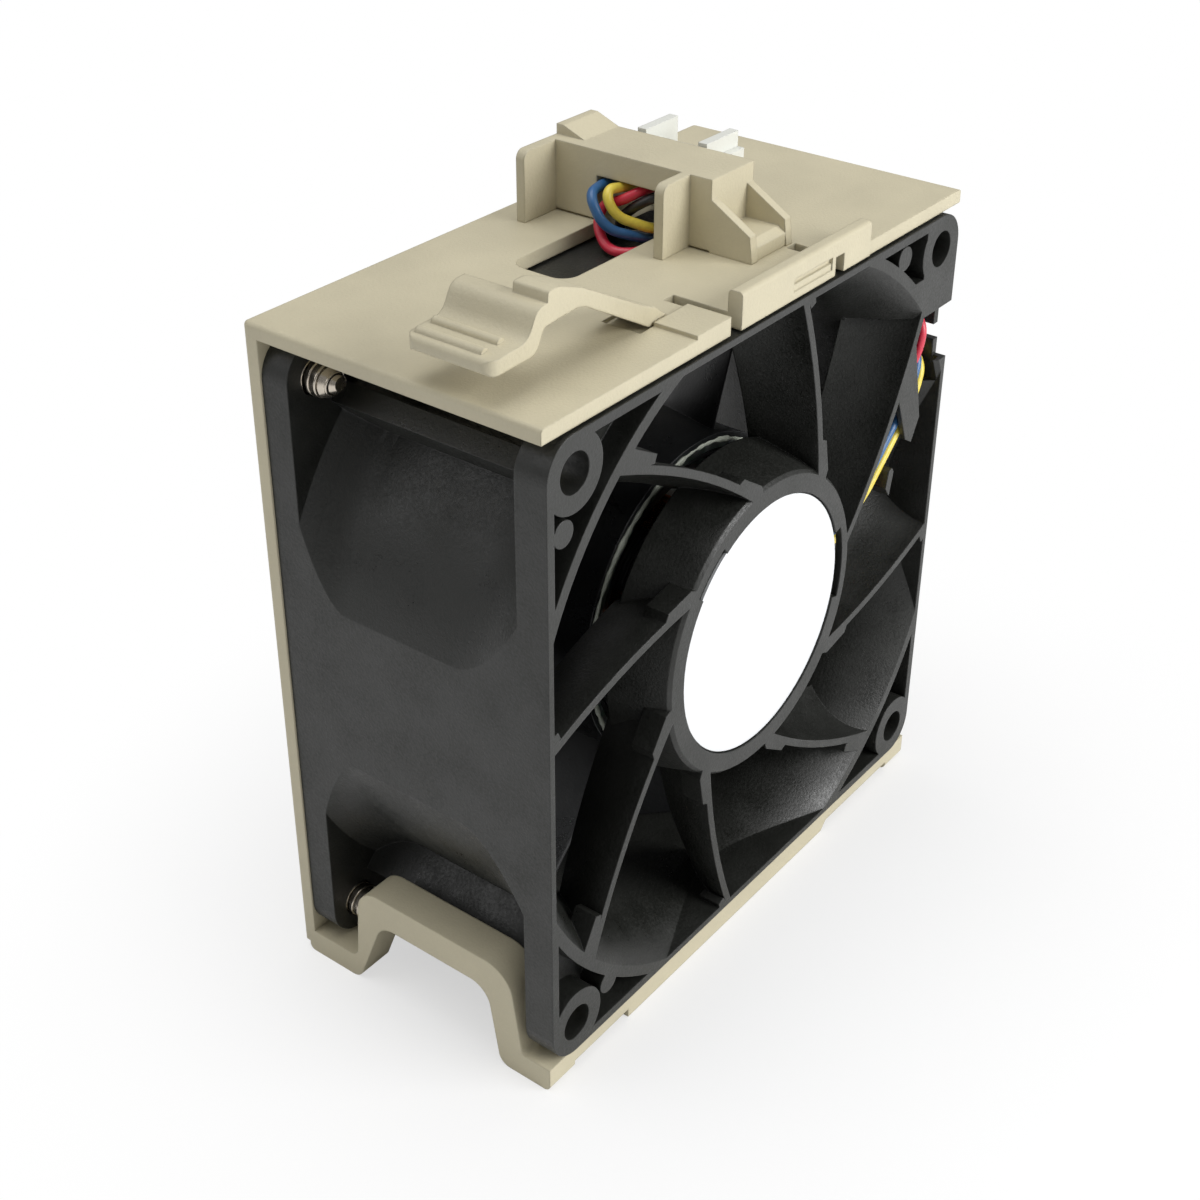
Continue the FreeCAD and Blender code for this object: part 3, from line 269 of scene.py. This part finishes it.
def squared(wave):
    """A sine or cosine raised to the power 1/20 with its sign kept, which turns a circle's outline into
    a square with small round corners."""
    return np.sign(wave) * np.abs(wave) ** (1 / 20)


def new_object(mesh, material):
    """Puts a mesh in the scene as an object of the same name."""
    mesh.materials.append(material)
    item = bpy.data.objects.new(mesh.name, mesh)
    bpy.context.scene.collection.objects.link(item)
    return item


def new_piece(mesh, material, body):
    """Puts a mesh in the scene as a piece that rides on a body."""
    piece = new_object(mesh, material)
    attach(piece, body)


# ---------------------------------------------------------------- settings
def colour_setting(name, description, hex_colour):
    """A colour that a user can change."""
    return bpy.props.FloatVectorProperty(name=name, description=description, default=linear(hex_colour),
                                         size=4, min=0.0, max=1.0, subtype="COLOR")


def plain_setting(name, description, value, **kind):
    """A number that a user can change: a share, a slope, an angle or a power."""
    return bpy.props.FloatProperty(name=name, description=description, default=value, **kind)


def length_setting(name, description, value):
    """A length that a user can change."""
    return plain_setting(name, description, value, min=0.0, unit="LENGTH", subtype="DISTANCE", precision=5)


class CarrierFinish(bpy.types.PropertyGroup):
    """Beige mouldings."""
    beige: colour_setting("Beige", "Colour of the carrier, lever and connector holder", "#BFB79D")
    roughness: plain_setting("Roughness", "Mean roughness of the beige mouldings", 0.52, min=0.0, max=1.0,
                             subtype="FACTOR")


class FanFinish(bpy.types.PropertyGroup):
    """Black mouldings and label."""
    frame_black: colour_setting("Frame black", "Colour of the fan's frame", "#1F201D")
    blade_black: colour_setting("Blade black", "Colour of the impeller", "#131415")
    label_white: colour_setting("Label white", "Colour of the round label", "#E2E4E6")
    bead_grey: colour_setting("Bead grey", "Colour of the adhesive bead on the rotor's rim", "#A8ADA0")


class LeadFinish(bpy.types.PropertyGroup):
    """Insulation colours."""
    red: colour_setting("Red", "Supply lead", "#D02C44")
    yellow: colour_setting("Yellow", "Speed signal lead", "#E3CD4E")
    blue: colour_setting("Blue", "Speed control lead", "#2C5F92")
    black: colour_setting("Black", "Ground lead", "#1C1C1E")


class MetalFinish(bpy.types.PropertyGroup):
    """Screws, motor and connector."""
    nickel: colour_setting("Nickel", "Plated screws", "#CBC2B4")
    zinc: colour_setting("Zinc", "Plated yoke", "#C9CBCD")
    steel: colour_setting("Steel", "Ground bearings and shaft", "#D2D2D2")
    brass: colour_setting("Brass", "Bearing tube", "#C9A65C")
    copper: colour_setting("Copper", "Windings", "#C8784A")
    nylon: colour_setting("Nylon", "Connector body and bobbin", "#D8D9D2")


class ThreadSize(bpy.types.PropertyGroup):
    """Thread on the rear screws."""
    pitch: length_setting("Pitch", "Distance between two turns", 1.0 * MM)
    crest: length_setting("Crest", "How far the thread stands off the shank", 0.2 * MM)
    point: length_setting("Point", "Length of the tapered point", 1.8 * MM)
    shank: length_setting("Shank", "Radius of the shank", 2.0 * MM)
    tip: length_setting("Tip", "Radius of the point's end", 0.8 * MM)
    base: length_setting("Base", "Half the width of the ridge's foot", 0.3 * MM)


class BeadSize(bpy.types.PropertyGroup):
    """Adhesive bead on the rotor's front rim."""
    width: length_setting("Width", "Mean width of the bead", 0.7 * MM)
    height: length_setting("Height", "Mean height of the bead over the rim", 0.22 * MM)
    inset: length_setting("Inset", "Bead's middle to the rotor's outside", 0.95 * MM)
    wall: length_setting("Wall", "Wall of the impeller's hub outside the yoke", 1.0 * MM)


class RootShape(bpy.types.PropertyGroup):
    """Flexing root of the latch lever."""
    reach: length_setting("Reach", "How far the root runs to each side of the lever's hinge line", 2.0 * MM)
    width: length_setting("Width", "Width of the arm that the root carries", 4.3 * MM)
    knuckle: length_setting("Knuckle", "Radius of the lever's round end", 0.96 * MM)
    skin: length_setting("Skin", "How far the root stands off the arm and its seat", 0.07 * MM)
    arm_rise: plain_setting("Arm rise", "Rise of the arm's top over its run", 0.533, min=0.0)
    seat_rise: plain_setting("Seat rise", "Rise of the seat's ramp over its run", 0.75, min=0.0)


class StageLayout(bpy.types.PropertyGroup):
    """Camera and lamps."""
    azimuth: plain_setting("Azimuth", "Camera's turn to the left of the outlet face", math.radians(52.77),
                           subtype="ANGLE")
    elevation: plain_setting("Elevation", "Camera's height over the horizon", math.radians(30.62),
                             subtype="ANGLE")
    roll: plain_setting("Roll", "Camera's turn about its line of sight", math.radians(0.40), subtype="ANGLE")
    distance: length_setting("Distance", "Camera to the point that it is aimed at", 219.9 * MM)
    aim: bpy.props.FloatVectorProperty(name="Aim", description="Point that the camera is aimed at", size=3,
                                       default=(-5.47 * MM, 19.0 * MM, 8.24 * MM), subtype="TRANSLATION")
    lens: plain_setting("Lens", "Focal length on a sensor 36 mm wide", 55.6, min=1.0, unit="CAMERA")
    key: plain_setting("Key", "Power of the lamp before the outlet face", 5.1, min=0.0, unit="POWER")
    overhead: plain_setting("Overhead", "Power of the lamp over the plate", 3.075, min=0.0, unit="POWER")
    side: plain_setting("Side", "Power of the lamp behind the left side", 0.75, min=0.0, unit="POWER")


class ModuleSettings(bpy.types.PropertyGroup):
    """All settings of the fan module."""
    carrier: bpy.props.PointerProperty(type=CarrierFinish)
    fan: bpy.props.PointerProperty(type=FanFinish)
    leads: bpy.props.PointerProperty(type=LeadFinish)
    metals: bpy.props.PointerProperty(type=MetalFinish)
    thread: bpy.props.PointerProperty(type=ThreadSize)
    bead: bpy.props.PointerProperty(type=BeadSize)
    root: bpy.props.PointerProperty(type=RootShape)
    stage: bpy.props.PointerProperty(type=StageLayout)


# ---------------------------------------------------------------- operators
class DressCarrier(bpy.types.Operator):
    """Finish the carrier, its lever and the connector's holder"""
    bl_idname = "fan_module.dress_carrier"
    bl_label = "Carrier, lever and holder"

    def execute(self, context):
        finish = context.scene.fan_module.carrier
        abs_beige = moulded_plastic("textured_ABS_beige", tuple(finish.beige), grain_mm=0.35,
                                    grain_depth_mm=0.06, cloud_mm=11.0, cloud=0.07,
                                    roughness=finish.roughness, edge_mm=0.3)
        dress(abs_beige, "carrier", "connector_holder", "latch_lever")
        return {"FINISHED"}


class MouldRoot(bpy.types.Operator):
    """Mould the flexing root that joins the latch lever to the plate"""
    bl_idname = "fan_module.mould_root"
    bl_label = "Lever's flexing root"

    def execute(self, context):
        """A sleeve of near-rectangular rings along X, from the seat's ramp over the hinge line to the arm.
        Each ring is a superellipse: cos and sin of an angle, each raised to the power 1/20 with its sign
        kept, times half the width and half the height there. The top follows the ramp's line and then the
        arm's, whichever is lower. The skin swells as sin squared, from under nothing at both ends."""
        shape = context.scene.fan_module.root
        joints = frame["record"]["behaviour"]["joints"]
        hinge = next(joint for joint in joints if joint["name"] == "latch_press")["pos_m"]
        edge_across, edge_up = 0.46 * MM, 0.84 * MM    # hinge line to the arm's edges on the knuckle
        ramp_across, ramp_up = 0.45 * MM, 1.11 * MM    # hinge line to a point on the ramp's slope
        ramp_end, over_arm = 0.2 * MM, 0.15 * MM       # the slope's end, and its most over the arm's line
        sunk, peak = 0.02 * MM, 1.4                    # skin's ends under the surface, its middle's rise
        rings, corners = 49, 64
        share = np.linspace(0, 1, rings)[:, None]
        run = shape.reach * (1 - 2 * share)
        ramp_top = hinge[2] + ramp_up - shape.seat_rise * (run - ramp_across)
        arm_top = hinge[2] + edge_up + shape.arm_rise * (edge_across - run)
        top = np.where(run > ramp_end, np.minimum(ramp_top, arm_top + over_arm), arm_top)
        low = hinge[2] - edge_up + shape.arm_rise * np.maximum(-edge_across - run, 0)
        skin = shape.skin * peak * np.sin(np.pi * share) ** 2 - sunk
        around = np.linspace(0, 2 * np.pi, corners, endpoint=False)[None, :]
        x = hinge[0] + run + 0 * around
        y = hinge[1] + (shape.width / 2 + skin) * squared(np.cos(around))
        z = (top + low) / 2 + ((top - low) / 2 + skin) * squared(np.sin(around))
        mesh = grid_mesh("lever_root", np.stack([x, y, z], -1), False, True)
        root = new_object(mesh, bpy.data.materials["textured_ABS_beige"])
        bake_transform(root)
        return {"FINISHED"}


class DressFan(bpy.types.Operator):
    """Finish the fan's frame, impeller and label"""
    bl_idname = "fan_module.dress_fan"
    bl_label = "Frame, impeller and label"

    def execute(self, context):
        finish = context.scene.fan_module.fan
        pbt = moulded_plastic("glass_filled_PBT_black", tuple(finish.frame_black), grain_mm=0.35,
                              grain_depth_mm=0.06, cloud_mm=7.0, cloud=0.3, roughness=0.44, edge_mm=0.2,
                              speck=0.5, matting=0.22, seam_mm=32.9)
        satin = moulded_plastic("satin_PBT_black", tuple(finish.blade_black), grain_mm=0.4,
                                grain_depth_mm=0.03, cloud_mm=9.0, cloud=0.25, roughness=0.34,
                                edge_mm=0.15, ior=1.58, matting=0.12)
        dress(pbt, "fan_frame")
        dress(satin, "impeller")
        dress(coated_film("white_polyester_film", tuple(finish.label_white)), "label_disc")
        return {"FINISHED"}


class DressLeads(bpy.types.Operator):
    """Finish the four leads"""
    bl_idname = "fan_module.dress_leads"
    bl_label = "Leads"

    def execute(self, context):
        finish = context.scene.fan_module.leads
        for colour in ("red", "yellow", "blue", "black"):
            dress(extruded_pvc("PVC_insulation_" + colour, tuple(getattr(finish, colour))), "lead_" + colour)
        return {"FINISHED"}


class DressMotor(bpy.types.Operator):
    """Finish the motor, bearings and connector"""
    bl_idname = "fan_module.dress_motor"
    bl_label = "Motor, bearings and connector"

    def execute(self, context):
        finish = context.scene.fan_module.metals
        ground = metal("ground_bearing_steel", tuple(finish.steel), roughness=0.16, line_mm=0.25, axis="Y")
        plated = metal("zinc_plated_drawn_steel", tuple(finish.zinc), roughness=0.34, line_mm=0.4, axis="Y")
        laminated = metal("stamped_silicon_steel", linear("#8C8E92"), roughness=0.45, line_mm=0.5, axis="Y",
                          depth_mm=0.08)
        turned_brass = metal("turned_brass", tuple(finish.brass), roughness=0.28, line_mm=0.3, axis="Y")
        tinned = metal("tin_plated_bronze", linear("#D8D6CE"), roughness=0.3, line_mm=0.3, axis="X")
        nylon = moulded_plastic("natural_nylon", tuple(finish.nylon), grain_mm=0.4, grain_depth_mm=0.015,
                                cloud_mm=6.0, cloud=0.02, roughness=0.4, edge_mm=0.15)
        ferrite = moulded_plastic("bonded_ferrite", linear("#2B2A2C"), grain_mm=0.3, grain_depth_mm=0.03,
                                  cloud_mm=4.0, cloud=0.1, roughness=0.6, edge_mm=0.1)
        epoxy = moulded_plastic("epoxy_moulding_black", linear("#1B1B1C"), grain_mm=0.25, grain_depth_mm=0.03,
                                cloud_mm=3.0, cloud=0.08, roughness=0.5, edge_mm=0.1)
        resist = moulded_plastic("solder_resist_green", linear("#1E5A34"), grain_mm=0.6, grain_depth_mm=0.01,
                                 cloud_mm=5.0, cloud=0.12, roughness=0.3, edge_mm=0.05)
        dress(ground, "bearing_outer_rings", "bearing_inner_rings", "bearing_balls", "shaft",
              "preload_washer", "retaining_clip")
        dress(plated, "rotor_yoke")
        dress(laminated, "stator_core")
        dress(turned_brass, "bearing_tube")
        dress(tinned, "connector_terminals")
        dress(nylon, "connector_housing", "stator_insulator")
        dress(ferrite, "magnet_ring")
        dress(epoxy, "board_parts")
        dress(resist, "driver_board")
        dress(wound_copper("enamelled_copper_wire", tuple(finish.copper), wire_mm=0.3), "stator_coils")
        return {"FINISHED"}


class CutThreads(bpy.types.Operator):
    """Finish the rear screws and put the threads on their shanks"""
    bl_idname = "fan_module.cut_threads"
    bl_label = "Screw threads"

    def execute(self, context):
        """The ridge is a triangle carried along a helix: turn t gives the angle 2 pi t and the depth
        start + pitch t. Its foot follows the screw, whose radius grows evenly from the tip's to the
        shank's along the point, and its crest sinks into the screw over the last half turn at each end."""
        size = context.scene.fan_module.thread
        nickel = metal("nickel_plated_rolled_screw_steel", tuple(context.scene.fan_module.metals.nickel),
                       roughness=0.2, line_mm=0.2, axis="Y")
        dress(nickel, "rear_screws")
        foot_sunk, crest_sunk, fade_turns = 0.1 * MM, 0.02 * MM, 0.5
        from_tip, from_rear, stations = 0.35 * MM, 0.6 * MM, 640
        tip_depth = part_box("rear_screws")[0][1]
        start, end = tip_depth + from_tip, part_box("fan_frame")[1][1] - from_rear
        turns = np.linspace(0, (end - start) / size.pitch, stations)
        depth = start + size.pitch * turns
        foot = size.tip + (size.shank - size.tip) * np.clip((depth - tip_depth) / size.point, 0, 1)
        fade = np.clip(np.minimum(turns, turns[-1] - turns) / fade_turns, 0, 1)
        radii = np.stack([foot - foot_sunk, foot + size.crest * fade - crest_sunk, foot - foot_sunk], 1)
        shifts = np.array([-size.base, 0.0, size.base])
        angle = 2 * np.pi * turns[:, None]
        bolts = next(mount for mount in frame["record"]["mounts"] if mount["name"] == "outlet_bolts")
        at = bolts["dims"]["spacing_x_mm"] / 2 * MM
        for number, (x, z) in enumerate(((-at, -at), (at, -at), (at, at), (-at, at)), 1):
            points = np.stack([x + radii * np.cos(angle), depth[:, None] + shifts,
                               z + radii * np.sin(angle)], -1)
            mesh = grid_mesh("screw_thread_%d" % number, points, False, True)
            new_piece(mesh, nickel, "module")
        return {"FINISHED"}


class LayBead(bpy.types.Operator):
    """Lay the adhesive bead that holds the yoke in the impeller's front rim"""
    bl_idname = "fan_module.lay_bead"
    bl_label = "Rotor's adhesive bead"

    def execute(self, context):
        """Around the rotor's axis at angle a, the bead's section is half an ellipse from angle 0 to pi and
        a flat foot under it. Its width and height swell and thin with a sum of sines of a, so that it looks
        laid by hand: 1 + 0.3 sin(3a + 1) + 0.25 sin(11a) + 0.2 sin(29a + 2) + 0.15 sin(67a). Its middle
        wanders by a tenth of a millimetre with sin(5a + 0.5)."""
        size = context.scene.fan_module.bead
        rotor_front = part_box("impeller")[0][1]
        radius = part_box("rotor_yoke")[1][0] + size.wall - size.inset
        sunk, wander = 0.02 * MM, 0.1 * MM
        stations, arc_points = 720, 9
        around = np.linspace(0, 2 * np.pi, stations, endpoint=False)[:, None]
        swell = 1 + sum(much * np.sin(waves * around + shift)
                        for much, waves, shift in ((0.3, 3, 1), (0.25, 11, 0), (0.2, 29, 2), (0.15, 67, 0)))
        arc = np.linspace(0, np.pi, arc_points)[None, :]
        reach = radius + size.width / 2 * swell * np.cos(arc) + wander * np.sin(5 * around + 0.5)
        off = size.height * swell * np.sin(arc)
        points = np.stack([reach * np.cos(around), rotor_front - off + sunk, reach * np.sin(around)], -1)
        silicone = moulded_plastic("brushed_silicone_adhesive",
                                   tuple(context.scene.fan_module.fan.bead_grey), grain_mm=0.5,
                                   grain_depth_mm=0.06, cloud_mm=2.0, cloud=0.15, roughness=0.5,
                                   edge_mm=0.05, ior=1.42)
        new_piece(grid_mesh("rotor_bead", points, True, True), silicone, "rotor")
        return {"FINISHED"}


class SetStage(bpy.types.Operator):
    """Floor, lamps, world and camera"""
    bl_idname = "fan_module.set_stage"
    bl_label = "Stage"

    def execute(self, context):
        scene = context.scene
        scene.view_settings.view_transform = "Standard"
        self.floor()
        self.world(scene)
        self.lamps(scene, scene.fan_module.stage)
        self.camera(scene, scene.fan_module.stage)
        return {"FINISHED"}

    def floor(self):
        """A pale painted sheet under the module. Near it the camera sees a share of the lit surface, so
        that the shadow stays, and farther out it sees only white."""
        near_mm, far_mm, near_white = 50.0, 110.0, 0.55
        reach, below, rows = 3.0, 0.02 * MM, 13
        material, tree, output, place = new_material("painted_studio_floor")
        lit = add(tree, "ShaderNodeBsdfPrincipled", {}, {"Base Color": linear("#F2F2F2"), "Roughness": 0.9,
                                                         "Specular IOR Level": 0.0})
        white = add(tree, "ShaderNodeEmission", {}, {"Color": (1, 1, 1, 1), "Strength": 1.0})
        away = add(tree, "ShaderNodeVectorMath", {"operation": "LENGTH"}, {}, {0: place})
        whiter = add(tree, "ShaderNodeMapRange", {"interpolation_type": "SMOOTHSTEP"},
                     {1: near_mm, 2: far_mm, 3: near_white, 4: 1.0}, {0: away.outputs["Value"]})
        ray = add(tree, "ShaderNodeLightPath")
        share = add(tree, "ShaderNodeMath", {"operation": "MULTIPLY"}, {},
                    {0: ray.outputs["Is Camera Ray"], 1: whiter.outputs[0]})
        finish_mixed(tree, output, share.outputs[0], lit, white)
        edge = np.linspace(-reach, reach, rows)
        x, y = np.meshgrid(edge, edge, indexing="ij")
        z = np.full_like(x, CAD_BOX[0][2] - below)
        floor = new_object(grid_mesh("floor", np.stack([x, y, z], -1), False, False), material)

    def world(self, scene):
        """An even pale sky that looks white to the camera."""
        world = bpy.data.worlds.new("pale_studio")
        scene.world = world
        world.use_nodes = True
        tree = world.node_tree
        tree.nodes.clear()
        output = add(tree, "ShaderNodeOutputWorld")
        fill = add(tree, "ShaderNodeBackground", {}, {"Color": (1, 1, 1, 1), "Strength": 0.27})
        white = add(tree, "ShaderNodeBackground", {}, {"Color": (1, 1, 1, 1), "Strength": 1.0})
        ray = add(tree, "ShaderNodeLightPath")
        finish_mixed(tree, output, ray.outputs["Is Camera Ray"], fill, white)

    def lamps(self, scene, layout):
        """A broad key before the outlet face, to its right, a weaker one overhead, and a faint one behind
        the left side, which lifts the left faces and the frame's corner recesses. Places and sizes are in
        metres, and each lamp faces the middle of the module."""
        middle = Vector((0, 0.02, 0))
        for name, place, size in (("key", (0.20, -0.62, 0.30), 0.45), ("overhead", (-0.05, 0.10, 0.75), 0.6),
                                  ("side", (-0.55, 0.45, 0.45), 0.5)):
            lamp = bpy.data.lights.new(name, "AREA")
            lamp.size = size
            lamp.energy = getattr(layout, name)
            holder = bpy.data.objects.new(name, lamp)
            holder.location = place
            holder.rotation_euler = (middle - Vector(place)).to_track_quat("-Z", "Y").to_euler()
            scene.collection.objects.link(holder)

    def camera(self, scene, layout):
        """The camera stands off its aim by the distance, turned left by the azimuth and raised by the
        elevation. Its sensor is shifted a little, so that the module stands off the middle."""
        back = Vector((-math.sin(layout.azimuth) * math.cos(layout.elevation),
                       -math.cos(layout.azimuth) * math.cos(layout.elevation), math.sin(layout.elevation)))
        lens = bpy.data.cameras.new("camera")
        lens.sensor_width = 36.0
        lens.lens = layout.lens
        lens.shift_x = -0.0068
        lens.shift_y = -0.0567
        lens.clip_start = 0.01
        camera = bpy.data.objects.new("camera", lens)
        camera.matrix_world = (Matrix.Translation(Vector(layout.aim) + back * layout.distance)
                               @ back.to_track_quat("Z", "Y").to_matrix().to_4x4()
                               @ Matrix.Rotation(layout.roll, 4, "Z"))
        scene.collection.objects.link(camera)
        scene.camera = camera


OPERATORS = (DressCarrier, MouldRoot, DressFan, DressLeads, DressMotor, CutThreads, LayBead, SetStage)


class ModulePanel(bpy.types.Panel):
    """Lists the steps that dress the fan module"""
    bl_idname = "VIEW3D_PT_fan_module"
    bl_label = "Fan module"
    bl_space_type = "VIEW_3D"
    bl_region_type = "UI"
    bl_category = "Fan module"

    def draw(self, context):
        for step in OPERATORS:
            self.layout.operator(step.bl_idname)


CLASSES = (CarrierFinish, FanFinish, LeadFinish, MetalFinish, ThreadSize, BeadSize, RootShape, StageLayout,
           ModuleSettings, ModulePanel) + OPERATORS


def register():
    """Registers the classes and the settings."""
    for kind in CLASSES:
        bpy.utils.register_class(kind)
    bpy.types.Scene.fan_module = bpy.props.PointerProperty(type=ModuleSettings)


def unregister():
    """Takes the classes and the settings away again."""
    del bpy.types.Scene.fan_module
    for kind in reversed(CLASSES):
        bpy.utils.unregister_class(kind)


def main():
    """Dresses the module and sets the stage."""
    register()
    bpy.ops.fan_module.dress_carrier()
    bpy.ops.fan_module.mould_root()
    bpy.ops.fan_module.dress_fan()
    bpy.ops.fan_module.dress_leads()
    bpy.ops.fan_module.dress_motor()
    bpy.ops.fan_module.cut_threads()
    bpy.ops.fan_module.lay_bead()
    bpy.ops.fan_module.set_stage()


if __name__ == "__main__":
    main()
